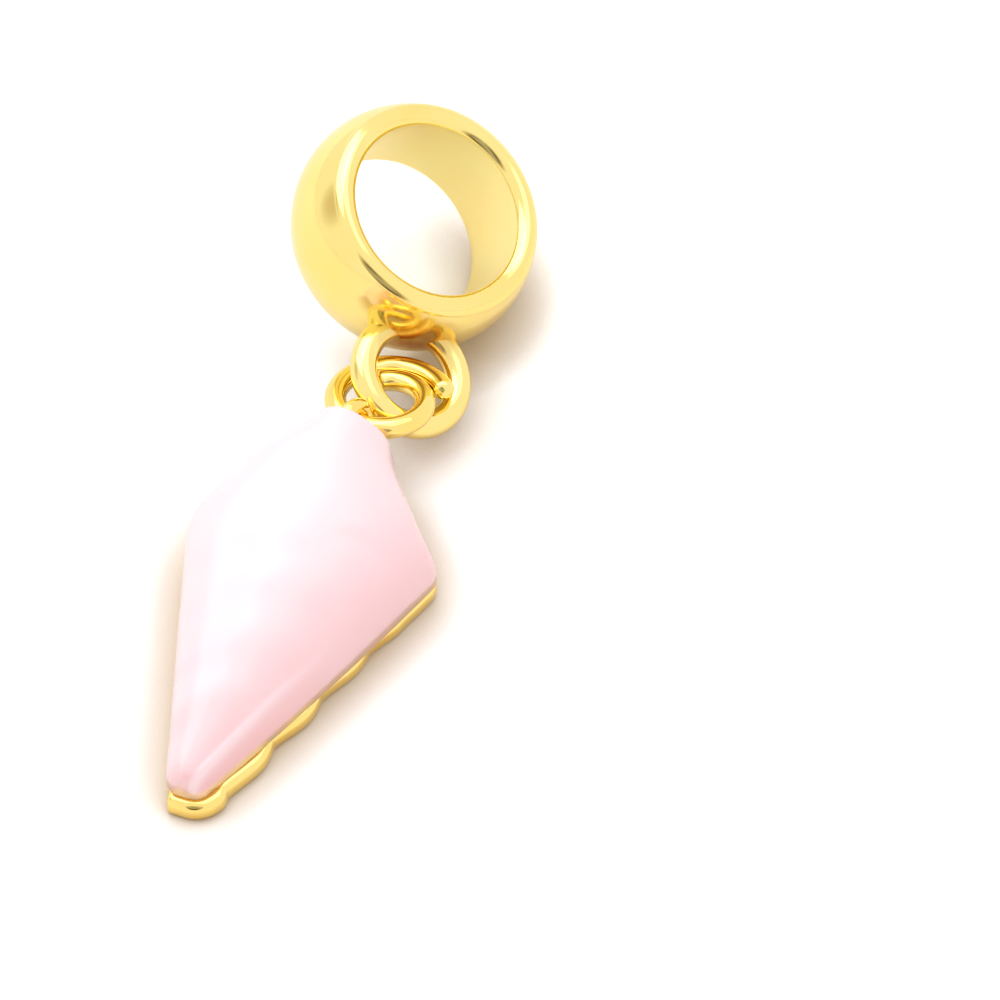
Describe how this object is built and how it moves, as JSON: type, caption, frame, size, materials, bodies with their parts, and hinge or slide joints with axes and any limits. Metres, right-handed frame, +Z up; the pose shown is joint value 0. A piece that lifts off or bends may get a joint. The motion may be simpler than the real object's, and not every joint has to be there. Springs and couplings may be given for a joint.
{
  "type": "dangle charm",
  "caption": "Large-hole slide bead with a cast loop and a lapped wire jump ring, carrying a conch-shaped drop with an enamelled front.",
  "frame": {"origin": "centre of the bounding box's underside, on the surface that the charm lies on", "axes": "+Z up from that surface, +Y along the drop from its tip to the bead, +X across the drop"},
  "size_m": [0.0078, 0.0226, 0.0059],
  "materials": {
    "bead_metal": "mirror-polished yellow gilt casting, sandy as-cast bore",
    "ring_metal": "mirror-polished yellow gilt wire",
    "shell_metal": "mirror-polished yellow gilt casting",
    "enamel": "opaque glossy vitreous enamel, pale pink"
  },
  "bodies": {
    "root": {"bail_bead": "bead_metal", "jump_ring": "ring_metal", "shell_base": "shell_metal", "shell_enamel": "enamel"}
  },
  "joints": []
}
